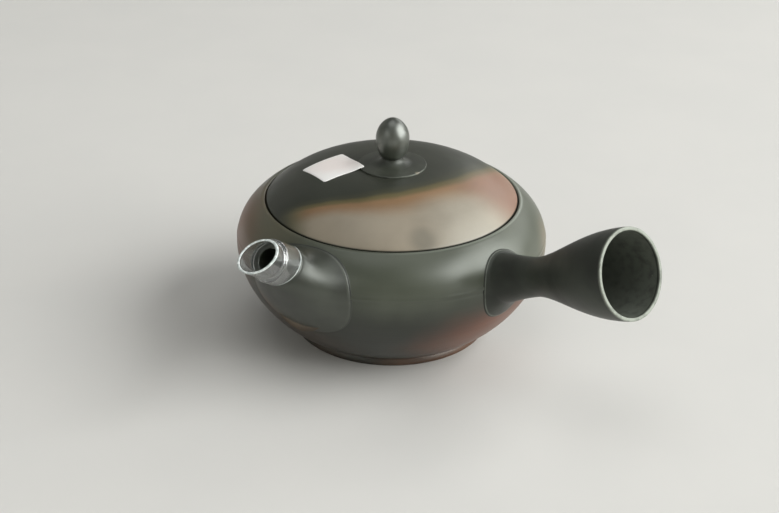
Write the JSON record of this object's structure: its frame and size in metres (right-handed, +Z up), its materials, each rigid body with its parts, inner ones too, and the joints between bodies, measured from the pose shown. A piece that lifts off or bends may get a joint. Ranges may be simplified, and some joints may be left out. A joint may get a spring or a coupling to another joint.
{
  "type": "side-handled teapot",
  "caption": "Round side-handled clay teapot with a low domed lift-off lid, egg-shaped knob, hollow flared handle, inner strainer and a clear pull-off sleeve on its spout.",
  "frame": {"origin": "middle of the foot ring, on the table", "axes": "+Z up along the pot's axis; the handle points to +X -Y and the spout to -X -Y, so the picture looks along +Y"},
  "size_m": [0.1431, 0.1431, 0.0803],
  "materials": {
    "clay": "dark smoke-fired clay, burnished to a satin sheen",
    "inner_clay": "bare matt clay",
    "flashed_clay": "smoke-fired clay with a pale flash from the kiln, satin",
    "clear_plastic": "clear soft plastic, glossy",
    "paper": "matt coated paper"
  },
  "bodies": {
    "pot": {"body_shell": "clay", "foot_ring": "clay", "spout": "clay", "spout_seam": "clay", "handle": "clay", "handle_seam": "clay", "strainer": "inner_clay"},
    "lid": {"lid_plate": "flashed_clay", "lid_flange": "inner_clay", "knob": "flashed_clay", "knob_seat": "flashed_clay", "label": "paper"},
    "cover": {"spout_cover": "clear_plastic"}
  },
  "joints": [
    {"name": "lid_lift", "type": "slide", "parent": "pot", "child": "lid", "axis": [0, 0, 1], "range_m": [0, 0.08]},
    {"name": "cover_pull", "type": "slide", "parent": "pot", "child": "cover", "axis": [-0.4873, -0.6707, 0.5592], "range_m": [0, 0.03]}
  ]
}
